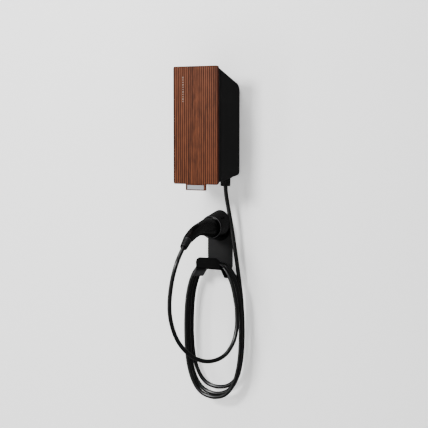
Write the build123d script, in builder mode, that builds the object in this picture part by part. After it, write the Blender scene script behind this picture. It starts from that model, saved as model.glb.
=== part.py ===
from build123d import *
from math import cos, radians, sin, tan
import os

# Electric car wallbox with a wooden front panel, a parked charging plug and its cable.
# Millimetres. X runs to the right, -Y into the room, +Z up.
# The origin lies on the wall, in the middle of the four wall holes of the housing.

# Front panel
panel_w = 148.5
panel_h = 357.0
panel_t = 11.0
panel_corner_r = 5.5
panel_edge_r = 0.8
panel_bottom = -162.0

# Housing: a tapering box made of a deep tub, a gasket and a flat front cover
side_inset = 0.8
roof_inset = 3.5
floor_inset = 5.5
housing_depth = 161.0
roof_fall = 48.0
floor_rise = 17.7
side_edge_r = 5.0
roof_back_r = 28.0
floor_back_r = 14.0
wall = 3.2
cover_depth = 11.5
cover_t = 3.0
gasket_t = 1.5
gasket_w = 2.0
gasket_inset = 0.6

# Wall holes of the housing
wall_hole_dx = 90.0
wall_hole_dz = 200.0
wall_hole_r = 2.75
wall_pad_r = 9.0
wall_pad_h = 3.0

# Screws that hold the front cover, and their bosses
boss_r = 4.5
boss_length = 24.0
boss_from_side = 7.0
boss_from_roof = 14.0
cover_screw_r = 2.0
cover_screw_head_r = 3.8
cover_screw_head_h = 2.2
cover_screw_length = 28.0
clearance = 0.1

# Press studs that hold the front panel to the cover
stud_r = 4.0
stud_in_panel = 5.0
stud_head_r = 5.2
stud_head_h = 1.5
stud_from_side = 24.0
stud_from_end = 36.0

# Tab under the panel, with its dowels and its bare metal plate
tab_w = 65.0
tab_drop = 18.6
tab_setback = 0.6
tab_corner_r = 1.5
dowel_r = 2.0
dowel_length = 16.0
dowel_gap = 36.0
plate_w = 58.0
plate_h = 14.0
plate_t = 1.0
plate_recess = 0.5
plate_corner_r = 1.0
plate_edge = 0.2

# Cable and its gland
cable_d = 13.0
gland_from_side = 27.95
gland_from_wall = 50.0
gland_pad_r = 20.0
gland_pad_bottom = -147.5
gland_pad_top = -138.5
gland_thread_r = 12.5
gland_across_flats = 30.0
gland_collar_h = 5.0
gland_nut_h = 20.2
gland_nut_chamfer = 2.2
gland_nut_lip = 4.0
gland_neck_h = 9.0
gland_seal_r = 11.0
gland_seal_h = 5.8
locknut_h = 5.0
gland_tube_top = -130.0
gland_tube_wall = 2.5

# Rail and the switching devices on it
rail_z = 38.0
rail_end_gap = 11.25
rail_height = 35.0
rail_depth = 7.5
rail_sheet = 1.0
rail_inner = 25.0
rail_boss = 5.0
rail_boss_from_end = 19.0
rail_boss_w = 16.0
rail_boss_corner_r = 2.0
rail_screw_r = 2.0
rail_screw_head_h = 2.4
device_h = 86.0
device_shoulder = 38.0
device_nose = 60.0
device_nose_h = 45.0
module_w = 17.8
device_gap = 1.0
device_from_end = 3.0
device_edge_r = 1.5
device_hook = 4.0
device_hole_r = 3.0
device_hole_from_end = 10.0
device_hole_depth = 8.0
lever_r = 5.0
lever_w = 10.0
lever_reach = 13.0
lever_t = 4.0
lever_tilt = 25.0
lever_pin_r = 1.5
lever_pin_fit = 0.05
lever_side_gap = 0.4
button_r = 3.0
button_stroke = 1.2
button_proud = 2.0
button_length = 8.0
button_fit = 0.3
meter_window_h = 18.0
meter_window_edge = 3.0
meter_window_depth = 1.5

# Terminal block, current sensor and supply grommet on the back wall of the tub
terminal_from_side = 8.0
terminal_z = -48.0
terminal_pitch = 10.0
terminal_count = 5
terminal_h = 38.0
terminal_depth = 26.0
terminal_boss = 4.0
sensor_from_side = 15.0
sensor_over_grommet = 1.0
sensor_r = 15.0
sensor_bore_r = 8.0
sensor_w = 14.0
sensor_foot = 4.0
grommet_z = -98.0
grommet_r = 11.0
grommet_lip_r = 14.0
grommet_lip_h = 2.5
grommet_bore_r = 6.5

# Main board on posts behind the front cover
board_w = 112.0
board_h = 150.0
board_t = 1.6
board_z = 16.0
post_h = 6.0
post_r = 3.2
post_from_edge = 6.0
power_size = (38.0, 28.0, 20.0)
relay_size = (30.0, 16.0, 15.0)
relay_pitch = 19.0
radio_size = (26.0, 18.0, 3.0)
header_size = (40.0, 9.0, 11.0)
header_pins = 8
header_pin_r = 1.4
header_pin_depth = 6.0
module_corner_r = 1.0
board_screw_r = 1.2
board_screw_head_r = 2.4
board_screw_head_h = 1.8
board_screw_length = 7.0
antenna_w = 58.0
antenna_h = 44.0
antenna_t = 1.0
antenna_band = 8.0
antenna_drop = 38.0

# Holder: one folded sheet with a wall plate, an inclined saddle, a lip and two side arms
holder_x = 5.3
sheet_t = 3.0
bend_r = 3.0
holder_plate_w = 86.5
holder_top = -262.0
saddle_front = 93.0
saddle_w = 82.0
saddle_tilt = 8.5
saddle_front_z = -431.7
lip_h = 37.0
lip_corner_r = 17.0
arm_drop_angle = 60.0
arm_length = 28.0
arm_setback = 4.0
holder_hole_dz = 60.0
holder_hole_r = 2.75

# Dock that holds the parked plug
dock_z = -302.0
dock_depth = 68.0
dock_base_w = 75.0
dock_base_h = 99.0
dock_rim_r = 36.6
dock_wall = 3.2
dock_base_t = 4.0
dock_screw_dx = 36.0
dock_screw_dz = 36.0
dock_screw_r = 2.0
dock_screw_head_r = 3.6
dock_screw_head_h = 2.0
dock_screw_access = 2.5
collar_at = 36.0
collar_w = 9.0
plug_gap = 0.3
rim_chamfer = 0.9
rim_notch_w = 4.0
rim_notch_h = 3.0
dock_slot_at = 31.0
dock_slot_length = 24.0
dock_slot_w = 3.6

# Plug
shroud_r = 32.0
shroud_flat = 25.0
shroud_t = 2.6
shroud_back = 60.0
shroud_length = 34.0
insert_r = 27.5
insert_flat = 21.0
insert_setback = 3.0
contact_ring = 16.5
contact_r = 4.0
signal_r = 2.6
contact_wall = 0.9
contact_depth = 24.0
contact_row = 14.5
contact_setback = 2.0
handle_start = 64.0
handle_length = 172.0
handle_drop = 22.5
handle_neck = 2.0
boot_angle = -37.0
boot_length = 33.0
boot_start_r = 13.8
boot_end_r = 11.2
boot_groove = 1.7
boot_groove_w = 2.4
boot_grooves = 4
boot_groove_pitch = 5.6
boot_first_groove = 11.0
boot_end_round = 1.0

# Handle sections: distance from its start, rise, slope in degrees, half width, half height
handle_sections = [
    (0.0, 0.0, 2.0, 27.5, 30.0),
    (20.0, 1.0, 4.0, 26.5, 29.0),
    (47.0, 4.0, 3.0, 21.5, 25.5),
    (84.0, 3.5, -4.0, 16.2, 17.6),
    (121.0, -2.0, -14.0, 14.8, 15.6),
    (151.0, -11.5, -24.0, 14.2, 14.6),
]

# Cable coil that hangs over the saddle
coil_front = 86.0
coil_back = 17.0
coil_top = -415.2
coil_bottom = -850.5
coil_hole_bottom = -807.0
coil_half_w = 104.0
coil_widest_z = -640.0
coil_strand = 16.0
coil_edge_r = 5.0
coil_shoulders = [(75, -462), (96, -542)]
coil_hole_shoulders = [(62, -464), (81, -542)]
lead_side = 88.5


# Shared planes and helpers

def wall_plane(depth, x=0.0, z=0.0):
    """Plane parallel to the wall, at a depth into the room. It faces the room."""
    return Plane(origin=(x, -depth, z), x_dir=(1, 0, 0), z_dir=(0, -1, 0))


def side_plane(x, z=0.0):
    """Plane across X, with depth into the room and height as its axes. It faces -X."""
    return Plane(origin=(x, 0, z), x_dir=(0, -1, 0), z_dir=(-1, 0, 0))


def save(piece, name):
    """Label a finished piece and write it as its own STEP file."""
    piece.part.label = name
    export_step(piece.part, f"parts/{name}.step")


os.makedirs("parts", exist_ok=True)

box_depth = housing_depth + panel_t
panel_top = panel_bottom + panel_h
panel_mid = panel_bottom + panel_h / 2
housing_w = panel_w - 2 * side_inset
inner_half_w = housing_w / 2 - wall
gland_x = housing_w / 2 - gland_from_side
roof_front = panel_top - roof_inset
roof_back = roof_front - roof_fall
floor_front = panel_bottom + floor_inset
floor_back = floor_front + floor_rise
tub_depth = housing_depth - cover_depth - gasket_t
cover_back = tub_depth + gasket_t


def housing_form(near, far, inset=0.0):
    """Solid between two depths of the tapering housing, smaller by an inset all round."""
    reach = 1.1 * housing_depth
    roof_reach = roof_back + (roof_front - roof_back) * reach / housing_depth
    floor_reach = floor_back + (floor_front - floor_back) * reach / housing_depth
    with BuildPart() as form:
        with BuildSketch(side_plane(housing_w / 2 - inset)) as profile:
            with BuildLine():
                Polyline(
                    (0, floor_back),
                    (reach, floor_reach),
                    (reach, roof_reach),
                    (0, roof_back),
                    close=True,
                )
            make_face()
            fillet(profile.vertices().sort_by_distance((0, floor_back))[0], floor_back_r)
            fillet(profile.vertices().sort_by_distance((0, roof_back))[0], roof_back_r)
            offset(amount=-inset, mode=Mode.REPLACE)
        extrude(amount=housing_w - 2 * inset)
        fillet(form.faces().filter_by(Axis.X).edges(), side_edge_r - inset)
        with BuildSketch(wall_plane(near, 0, panel_mid)):
            Rectangle(2 * panel_w, 2 * panel_h)
        extrude(amount=far - near, mode=Mode.INTERSECT)
    return form.part


# Front panel: a board with rounded corners, four blind stud holes and two dowel holes

stud_spots = [
    (side * (panel_w / 2 - stud_from_side), panel_mid + end * (panel_h / 2 - stud_from_end))
    for side in (-1, 1)
    for end in (-1, 1)
]
dowel_depth = (housing_depth + box_depth) / 2

with BuildPart() as front_panel:
    with BuildSketch(wall_plane(housing_depth, 0, panel_mid)):
        RectangleRounded(panel_w, panel_h, panel_corner_r)
    extrude(amount=panel_t)
    fillet(front_panel.faces().sort_by(Axis.Y)[0].edges(), panel_edge_r)
    with BuildSketch(wall_plane(housing_depth)):
        with Locations(*stud_spots):
            Circle(stud_r + clearance)
    extrude(amount=stud_in_panel + clearance, mode=Mode.SUBTRACT)
    with BuildSketch(Plane.XY.offset(panel_bottom)):
        with Locations((-dowel_gap / 2, -dowel_depth), (dowel_gap / 2, -dowel_depth)):
            Circle(dowel_r + clearance)
    extrude(amount=dowel_length / 2 + clearance, mode=Mode.SUBTRACT)
save(front_panel, "front_panel")

# Tab under the panel

tab_front = box_depth - tab_setback
with BuildPart() as panel_tab:
    with BuildSketch(wall_plane(housing_depth, 0, panel_bottom - tab_drop / 2)):
        Rectangle(tab_w, tab_drop)
    extrude(amount=tab_front - housing_depth)
    fillet(panel_tab.edges().filter_by(Axis.Y).group_by(Axis.Z)[0], tab_corner_r)
    with BuildSketch(wall_plane(tab_front - plate_recess, 0, panel_bottom - tab_drop / 2)):
        RectangleRounded(
            plate_w + 2 * clearance,
            plate_h + 2 * clearance,
            plate_corner_r + clearance,
        )
    extrude(amount=plate_recess, mode=Mode.SUBTRACT)
    with BuildSketch(Plane.XY.offset(panel_bottom)):
        with Locations((-dowel_gap / 2, -dowel_depth), (dowel_gap / 2, -dowel_depth)):
            Circle(dowel_r + clearance)
    extrude(amount=-(dowel_length / 2 + clearance), mode=Mode.SUBTRACT)
save(panel_tab, "panel_tab")

with BuildPart() as tab_dowels:
    with BuildSketch(Plane.XY.offset(panel_bottom - dowel_length / 2)):
        with Locations((-dowel_gap / 2, -dowel_depth), (dowel_gap / 2, -dowel_depth)):
            Circle(dowel_r)
    extrude(amount=dowel_length)
save(tab_dowels, "tab_dowels")

with BuildPart() as tab_plate:
    with BuildSketch(wall_plane(tab_front - plate_recess, 0, panel_bottom - tab_drop / 2)):
        RectangleRounded(plate_w, plate_h, plate_corner_r)
    extrude(amount=plate_t)
    chamfer(tab_plate.faces().sort_by(Axis.Y)[0].edges(), plate_edge)
save(tab_plate, "tab_plate")

# Housing tub: a hollow tapering shell with a rounded back, bosses, pads and its openings

boss_spots = [
    (side * (housing_w / 2 - boss_from_side), height)
    for side in (-1, 1)
    for height in (roof_front - boss_from_roof, floor_front + boss_from_roof)
]
wall_holes = GridLocations(wall_hole_dx, wall_hole_dz, 2, 2)
rail_length = 2 * (inner_half_w - rail_end_gap)
rail_boss_x = rail_length / 2 - rail_boss_from_end
rail_back = wall + rail_boss
rail_front = rail_back + rail_depth
terminal_w = terminal_pitch * terminal_count + 4
terminal_x = terminal_w / 2 + terminal_from_side - inner_half_w
terminal_back = wall + terminal_boss
sensor_foot_w = 2 * sensor_r + 2 * sensor_foot
sensor_x = inner_half_w - sensor_from_side - sensor_foot_w / 2
sensor_z = grommet_z + grommet_lip_r + sensor_over_grommet + sensor_w / 2

with BuildPart() as housing:
    add(housing_form(0, tub_depth))
    add(housing_form(wall, tub_depth, wall), mode=Mode.SUBTRACT)
    with BuildSketch(wall_plane(tub_depth - boss_length)):
        with Locations(*boss_spots):
            Circle(boss_r)
    extrude(amount=boss_length)
    with BuildSketch(wall_plane(tub_depth)):
        with Locations(*boss_spots):
            Circle(cover_screw_r + clearance)
    extrude(amount=-(cover_screw_length - cover_depth), mode=Mode.SUBTRACT)
    with BuildSketch(wall_plane(wall)):
        with wall_holes:
            Circle(wall_pad_r)
    extrude(amount=wall_pad_h)
    with BuildSketch(wall_plane(wall, 0, rail_z)):
        with Locations((-rail_boss_x, 0), (rail_boss_x, 0)):
            RectangleRounded(rail_boss_w, rail_inner - 2 * rail_sheet, rail_boss_corner_r)
    extrude(amount=rail_boss)
    with BuildSketch(wall_plane(wall, terminal_x, terminal_z)):
        with GridLocations(terminal_w - 12, 0, 2, 1):
            RectangleRounded(10, terminal_h - 8, 2)
    extrude(amount=terminal_boss)
    with BuildSketch(Plane.XY.offset(gland_pad_bottom)):
        with Locations((gland_x, -gland_from_wall)):
            Circle(gland_pad_r)
    extrude(amount=gland_pad_top - gland_pad_bottom)
    with BuildSketch(Plane.XY.offset(gland_pad_bottom)):
        with Locations((gland_x, -gland_from_wall)):
            Circle(gland_thread_r + clearance)
    extrude(amount=gland_pad_top - gland_pad_bottom, mode=Mode.SUBTRACT)
    with BuildSketch(wall_plane(0)):
        with wall_holes:
            Circle(wall_hole_r)
    extrude(amount=wall + wall_pad_h, mode=Mode.SUBTRACT)
    with BuildSketch(wall_plane(0)):
        with Locations((0, grommet_z)):
            Circle(grommet_r + clearance)
    extrude(amount=wall, mode=Mode.SUBTRACT)
    with BuildSketch(wall_plane(rail_back, 0, rail_z)):
        with Locations((-rail_boss_x, 0), (rail_boss_x, 0)):
            Circle(rail_screw_r + clearance)
    extrude(amount=-rail_boss, mode=Mode.SUBTRACT)
save(housing, "housing")

# Gasket between the tub and the cover

with BuildPart() as cover_gasket:
    add(housing_form(tub_depth, cover_back, gasket_inset))
    add(housing_form(tub_depth, cover_back, gasket_inset + gasket_w), mode=Mode.SUBTRACT)
save(cover_gasket, "cover_gasket")

# Front cover: a shallow tray with screw sleeves, board posts and stud holes

cover_inner = housing_depth - cover_t
post_spots = GridLocations(board_w - 2 * post_from_edge, board_h - 2 * post_from_edge, 2, 2)

with BuildPart() as front_cover:
    add(housing_form(cover_back, housing_depth))
    add(housing_form(cover_back, cover_inner, wall), mode=Mode.SUBTRACT)
    with BuildSketch(wall_plane(cover_back)):
        with Locations(*boss_spots):
            Circle(boss_r)
    extrude(amount=cover_depth)
    with BuildSketch(wall_plane(cover_back)):
        with Locations(*boss_spots):
            Circle(cover_screw_r + clearance)
    extrude(amount=cover_depth, mode=Mode.SUBTRACT)
    with BuildSketch(wall_plane(housing_depth)):
        with Locations(*boss_spots):
            Circle(cover_screw_head_r + clearance)
    extrude(amount=-cover_screw_head_h, mode=Mode.SUBTRACT)
    with BuildSketch(wall_plane(cover_inner, 0, board_z)):
        with post_spots:
            Circle(post_r)
    extrude(amount=-post_h)
    with BuildSketch(wall_plane(cover_inner - post_h, 0, board_z)):
        with post_spots:
            Circle(board_screw_r + clearance)
    extrude(amount=board_screw_length - board_t, mode=Mode.SUBTRACT)
    with BuildSketch(wall_plane(cover_inner)):
        with Locations(*stud_spots):
            Circle(stud_r + clearance)
    extrude(amount=cover_t, mode=Mode.SUBTRACT)
save(front_cover, "front_cover")

with BuildPart() as cover_screws:
    with BuildSketch(wall_plane(housing_depth)):
        with Locations(*boss_spots):
            Circle(cover_screw_r)
    extrude(amount=-cover_screw_length)
    with BuildSketch(wall_plane(housing_depth)):
        with Locations(*boss_spots):
            Circle(cover_screw_head_r)
    extrude(amount=-cover_screw_head_h)
    with BuildSketch(wall_plane(housing_depth)):
        with Locations(*boss_spots):
            RegularPolygon(1.5, 6)
    extrude(amount=-cover_screw_head_h * 0.6, mode=Mode.SUBTRACT)
save(cover_screws, "cover_screws")

with BuildPart() as panel_studs:
    with BuildSketch(wall_plane(cover_inner)):
        with Locations(*stud_spots):
            Circle(stud_r)
    extrude(amount=cover_t + stud_in_panel)
    with BuildSketch(wall_plane(cover_inner)):
        with Locations(*stud_spots):
            Circle(stud_head_r)
    extrude(amount=-stud_head_h)
save(panel_studs, "panel_studs")

# Gland: threaded body with a hexagon collar, dome nut, seal ring and locknut

gland_spot = (gland_x, -gland_from_wall)
gland_corner_r = gland_across_flats / 2 / cos(radians(30))
collar_bottom = gland_pad_bottom - gland_collar_h
nut_bottom = collar_bottom - gland_nut_h
neck_bottom = collar_bottom - gland_neck_h
bore_r = cable_d / 2 + 0.2

with BuildPart() as gland_body:
    with BuildSketch(Plane.XY.offset(collar_bottom)):
        with Locations(gland_spot):
            RegularPolygon(gland_corner_r, 6)
    extrude(amount=gland_collar_h)
    with BuildSketch(Plane.XY.offset(neck_bottom)):
        with Locations(gland_spot):
            Circle(gland_thread_r)
    extrude(amount=gland_tube_top - neck_bottom)
    with BuildSketch(Plane.XY.offset(neck_bottom)):
        with Locations(gland_spot):
            Circle(gland_thread_r - gland_tube_wall)
    extrude(amount=gland_tube_top - neck_bottom, mode=Mode.SUBTRACT)
save(gland_body, "gland_body")

with BuildPart() as gland_nut:
    with BuildSketch(Plane.XY.offset(nut_bottom)):
        with Locations(gland_spot):
            RegularPolygon(gland_corner_r, 6)
    extrude(amount=gland_nut_h)
    with BuildSketch(Plane.XY.offset(nut_bottom)):
        with Locations(gland_spot):
            Circle(gland_corner_r - 2 * gland_nut_chamfer)
    with BuildSketch(Plane.XY.offset(nut_bottom + gland_nut_h)):
        with Locations(gland_spot):
            Circle(gland_corner_r - 2 * gland_nut_chamfer + 1.6 * gland_nut_h)
    loft(mode=Mode.INTERSECT)
    with BuildSketch(Plane.XY.offset(nut_bottom)):
        with Locations(gland_spot):
            Circle(bore_r)
    extrude(amount=gland_nut_h, mode=Mode.SUBTRACT)
    with BuildSketch(Plane.XY.offset(nut_bottom + gland_nut_lip)):
        with Locations(gland_spot):
            Circle(gland_thread_r + clearance)
    extrude(amount=gland_nut_h - gland_nut_lip, mode=Mode.SUBTRACT)
save(gland_nut, "gland_nut")

with BuildPart() as gland_seal:
    with BuildSketch(Plane.XY.offset(nut_bottom + gland_nut_lip)):
        with Locations(gland_spot):
            Circle(gland_seal_r)
            Circle(bore_r, mode=Mode.SUBTRACT)
    extrude(amount=gland_seal_h)
save(gland_seal, "gland_seal")

with BuildPart() as gland_locknut:
    with BuildSketch(Plane.XY.offset(gland_pad_top)):
        with Locations(gland_spot):
            RegularPolygon(gland_corner_r, 6)
            Circle(gland_thread_r + clearance, mode=Mode.SUBTRACT)
    extrude(amount=locknut_h)
save(gland_locknut, "gland_locknut")

# Rail: a top-hat section, screwed to two bosses

with BuildPart() as din_rail:
    with BuildSketch(side_plane(rail_length / 2, rail_z)):
        with Locations((rail_back + rail_sheet / 2, 0)):
            Rectangle(rail_sheet, rail_inner)
        with Locations((rail_back + rail_depth / 2, 0)):
            with GridLocations(0, rail_inner - rail_sheet, 1, 2):
                Rectangle(rail_depth, rail_sheet)
        with Locations((rail_front - rail_sheet / 2, 0)):
            with GridLocations(0, (rail_height + rail_inner) / 2 - rail_sheet, 1, 2):
                Rectangle(rail_sheet, (rail_height - rail_inner) / 2 + rail_sheet)
    extrude(amount=rail_length)
    with BuildSketch(wall_plane(rail_back, 0, rail_z)):
        with Locations((-rail_boss_x, 0), (rail_boss_x, 0)):
            Circle(rail_screw_r + clearance)
    extrude(amount=rail_sheet, mode=Mode.SUBTRACT)
save(din_rail, "din_rail")

with BuildPart() as rail_screws:
    with BuildSketch(wall_plane(rail_back + rail_sheet, 0, rail_z)):
        with Locations((-rail_boss_x, 0), (rail_boss_x, 0)):
            Circle(2 * rail_screw_r)
    extrude(amount=rail_screw_head_h)
    with BuildSketch(wall_plane(rail_back + rail_sheet, 0, rail_z)):
        with Locations((-rail_boss_x, 0), (rail_boss_x, 0)):
            Circle(rail_screw_r)
    extrude(amount=-(rail_sheet + rail_boss - clearance))
save(rail_screws, "rail_screws")


def rail_device(right, width):
    """Stepped body of a rail device, with a hook over the upper flange of the rail."""
    half = device_h / 2
    nose = device_nose_h / 2
    hook = rail_height / 2 + clearance
    with BuildPart() as device:
        with BuildSketch(side_plane(right, rail_z)):
            with BuildLine():
                Polyline(
                    (rail_front, -half),
                    (rail_front + device_shoulder, -half),
                    (rail_front + device_shoulder, -nose),
                    (rail_front + device_nose, -nose),
                    (rail_front + device_nose, nose),
                    (rail_front + device_shoulder, nose),
                    (rail_front + device_shoulder, half),
                    (rail_front, half),
                    close=True,
                )
            make_face()
            with Locations((rail_front - device_hook / 2, 0)):
                with GridLocations(0, 2 * hook + device_hook, 1, 2):
                    Rectangle(device_hook, device_hook)
        extrude(amount=width)
        fillet(device.edges().filter_by(Axis.X).sort_by(Axis.Y)[:2], device_edge_r)
    return device.part


nose_front = rail_front + device_nose
rcd_w = 2 * module_w
rcd_right = device_from_end - rail_length / 2 + rcd_w
contactor_right = rcd_right + device_gap + 2 * module_w
meter_right = contactor_right + device_gap + module_w
lever_x = rcd_right - rcd_w / 3
lever_depth = nose_front - lever_r - 0.5
lever_z = rail_z + 4
button_x = rcd_right - 3 * rcd_w / 4
button_z = rail_z - 12
slot_half = lever_w / 2 + lever_side_gap
device_hole_pitch = device_h - 2 * device_hole_from_end

# Residual current switch: body with a lever slot, pin holes and a button hole

with BuildPart() as rcd_body:
    add(rail_device(rcd_right, rcd_w))
    with BuildSketch(wall_plane(nose_front, lever_x, lever_z)):
        Rectangle(2 * slot_half, 2 * lever_r + 9)
    extrude(amount=-(2 * lever_r + 2), mode=Mode.SUBTRACT)
    with BuildSketch(side_plane(lever_x + slot_half + 3)):
        with Locations((lever_depth, lever_z)):
            Circle(lever_pin_r + lever_pin_fit)
    extrude(amount=2 * slot_half + 6, mode=Mode.SUBTRACT)
    with BuildSketch(wall_plane(nose_front, button_x, button_z)):
        Circle(button_r + button_fit)
    extrude(amount=-(button_length + button_stroke), mode=Mode.SUBTRACT)
    with BuildSketch(wall_plane(rail_front + device_shoulder, rcd_right - rcd_w / 2, rail_z)):
        with GridLocations(rcd_w / 2, device_hole_pitch, 2, 2):
            Circle(device_hole_r)
    extrude(amount=-device_hole_depth, mode=Mode.SUBTRACT)
save(rcd_body, "rcd_body")

with BuildPart() as rcd_lever:
    with BuildSketch(side_plane(lever_x + lever_w / 2)):
        with Locations((lever_depth, lever_z)):
            Circle(lever_r)
        with Locations(Location((lever_depth, lever_z), lever_tilt)):
            with Locations((lever_reach / 2, 0)):
                Rectangle(lever_reach, lever_t)
    extrude(amount=lever_w)
    with BuildSketch(side_plane(lever_x + slot_half + 2.5)):
        with Locations((lever_depth, lever_z)):
            Circle(lever_pin_r)
    extrude(amount=2 * slot_half + 5)
save(rcd_lever, "rcd_lever")

with BuildPart() as rcd_test_button:
    with BuildSketch(wall_plane(nose_front + button_proud, button_x, button_z)):
        Circle(button_r)
    extrude(amount=-(button_length + button_proud - button_fit))
    fillet(rcd_test_button.faces().sort_by(Axis.Y)[0].edges(), 0.6)
save(rcd_test_button, "rcd_test_button")

# Contactor and energy meter beside it

with BuildPart() as contactor:
    add(rail_device(contactor_right, 2 * module_w))
    with BuildSketch(wall_plane(rail_front + device_shoulder, contactor_right - module_w, rail_z)):
        with GridLocations(module_w / 2, device_hole_pitch, 4, 2):
            Circle(0.85 * device_hole_r)
    extrude(amount=-device_hole_depth, mode=Mode.SUBTRACT)
save(contactor, "contactor")

with BuildPart() as energy_meter:
    add(rail_device(meter_right, module_w))
    with BuildSketch(wall_plane(nose_front, meter_right - module_w / 2, rail_z)):
        with Locations((0, device_nose_h / 2 - meter_window_edge - meter_window_h / 2)):
            Rectangle(module_w - 2 * meter_window_edge, meter_window_h)
    extrude(amount=-meter_window_depth, mode=Mode.SUBTRACT)
save(energy_meter, "energy_meter")

# Terminal block with a row of wire holes and screw wells

with BuildPart() as terminal_block:
    with BuildSketch(side_plane(terminal_x + terminal_w / 2, terminal_z)):
        with BuildLine():
            Polyline(
                (terminal_back, -terminal_h / 2),
                (terminal_back + terminal_depth * 0.55, -terminal_h / 2),
                (terminal_back + terminal_depth, -terminal_h / 4),
                (terminal_back + terminal_depth, terminal_h / 4),
                (terminal_back + terminal_depth * 0.55, terminal_h / 2),
                (terminal_back, terminal_h / 2),
                close=True,
            )
        make_face()
    extrude(amount=terminal_w)
    with BuildSketch(Plane.XY.offset(terminal_z - terminal_h / 2)):
        with Locations((terminal_x, -(terminal_back + terminal_depth * 0.3))):
            with GridLocations(terminal_pitch, 0, terminal_count, 1):
                Circle(terminal_pitch * 0.32)
    extrude(amount=terminal_h, mode=Mode.SUBTRACT)
    with BuildSketch(wall_plane(terminal_back + terminal_depth, terminal_x, terminal_z)):
        with GridLocations(terminal_pitch, terminal_h * 0.3, terminal_count, 2):
            Circle(terminal_pitch * 0.26)
    extrude(amount=-terminal_depth * 0.5, mode=Mode.SUBTRACT)
save(terminal_block, "terminal_block")

# Current sensor: a ring on a foot

sensor_mid = wall + sensor_foot + sensor_r
with BuildPart() as current_sensor:
    with BuildSketch(Plane.XY.offset(sensor_z - sensor_w / 2)):
        with Locations((sensor_x, -sensor_mid)):
            Circle(sensor_r)
        with Locations((sensor_x, -(wall + sensor_foot / 2 + 1))):
            Rectangle(sensor_foot_w, sensor_foot + 2)
        with Locations((sensor_x, -(wall + sensor_foot + 2))):
            Rectangle(sensor_r, 4)
        with Locations((sensor_x, -sensor_mid)):
            Circle(sensor_bore_r, mode=Mode.SUBTRACT)
    extrude(amount=sensor_w)
save(current_sensor, "current_sensor")

with BuildPart() as supply_grommet:
    with BuildSketch(wall_plane(0)):
        with Locations((0, grommet_z)):
            Circle(grommet_r)
    extrude(amount=wall + grommet_lip_h)
    with BuildSketch(wall_plane(wall)):
        with Locations((0, grommet_z)):
            Circle(grommet_lip_r)
    extrude(amount=grommet_lip_h)
    with BuildSketch(wall_plane(0)):
        with Locations((0, grommet_z)):
            Circle(grommet_bore_r)
    extrude(amount=wall + grommet_lip_h, mode=Mode.SUBTRACT)
save(supply_grommet, "supply_grommet")

# Main board with its power module, relays, radio module and header

board_front = cover_inner - post_h
board_back = board_front - board_t

with BuildPart() as main_board:
    with BuildSketch(wall_plane(board_back, 0, board_z)):
        RectangleRounded(board_w, board_h, 3)
        with post_spots:
            Circle(board_screw_r + clearance, mode=Mode.SUBTRACT)
    extrude(amount=board_t)
save(main_board, "main_board")

with BuildPart() as board_screws:
    with BuildSketch(wall_plane(board_back, 0, board_z)):
        with post_spots:
            Circle(board_screw_head_r)
    extrude(amount=-board_screw_head_h)
    with BuildSketch(wall_plane(board_back, 0, board_z)):
        with post_spots:
            Circle(board_screw_r)
    extrude(amount=board_screw_length - clearance)
save(board_screws, "board_screws")

with BuildPart() as power_module:
    with BuildSketch(wall_plane(board_back, -board_w / 5, board_z - board_h / 4)):
        RectangleRounded(power_size[0], power_size[1], module_corner_r)
    extrude(amount=-power_size[2])
save(power_module, "power_module")

with BuildPart() as relay_block:
    with BuildSketch(wall_plane(board_back, board_w / 5, board_z - board_h / 4)):
        with GridLocations(0, relay_pitch, 1, 2):
            RectangleRounded(relay_size[0], relay_size[1], module_corner_r)
    extrude(amount=-relay_size[2])
save(relay_block, "relay_block")

with BuildPart() as radio_module:
    with BuildSketch(wall_plane(board_back, -board_w / 5, board_z + board_h / 4)):
        RectangleRounded(radio_size[0], radio_size[1], module_corner_r)
    extrude(amount=-radio_size[2])
save(radio_module, "radio_module")

with BuildPart() as board_header:
    with BuildSketch(wall_plane(board_back, board_w / 5, board_z + board_h / 4)):
        Rectangle(header_size[0], header_size[1])
    extrude(amount=-header_size[2])
    with BuildSketch(wall_plane(board_back - header_size[2], board_w / 5, board_z + board_h / 4)):
        with GridLocations(header_size[0] / header_pins, 0, header_pins, 1):
            Circle(header_pin_r)
    extrude(amount=header_pin_depth, mode=Mode.SUBTRACT)
save(board_header, "board_header")

with BuildPart() as reader_antenna:
    with BuildSketch(wall_plane(cover_inner - antenna_t, 0, board_z - antenna_drop)):
        Rectangle(antenna_w, antenna_h)
        Rectangle(antenna_w - 2 * antenna_band, antenna_h - 2 * antenna_band, mode=Mode.SUBTRACT)
    extrude(amount=antenna_t)
save(reader_antenna, "reader_antenna")

# Holder bracket: the wall plate, the inclined saddle and the lip are one folded strip

tilt = radians(saddle_tilt)
saddle_back_z = saddle_front_z - saddle_front * tan(tilt)
saddle_length = saddle_front / cos(tilt)
lip_end = (saddle_front + lip_h * sin(tilt), saddle_front_z + lip_h * cos(tilt))
arm_angle = radians(arm_drop_angle)
arm_out = arm_length * cos(arm_angle)
arm_drop = arm_length * sin(arm_angle)
bend_outer = bend_r + sheet_t


def tilted_plane(depth, height, angle):
    """Plane across a line that leaves the wall at an angle above the horizontal."""
    lift = radians(angle)
    return Plane(
        origin=(holder_x, -depth, height),
        x_dir=(1, 0, 0),
        z_dir=(0, -cos(lift), sin(lift)),
    )


arm_start = arm_setback + bend_outer
arm_plane = tilted_plane(
    arm_start * cos(tilt),
    saddle_back_z + arm_start * sin(tilt),
    saddle_tilt,
)

plate_top_mid = holder_top - holder_plate_w / 2
plate_low = saddle_back_z + 2 * bend_outer

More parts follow.
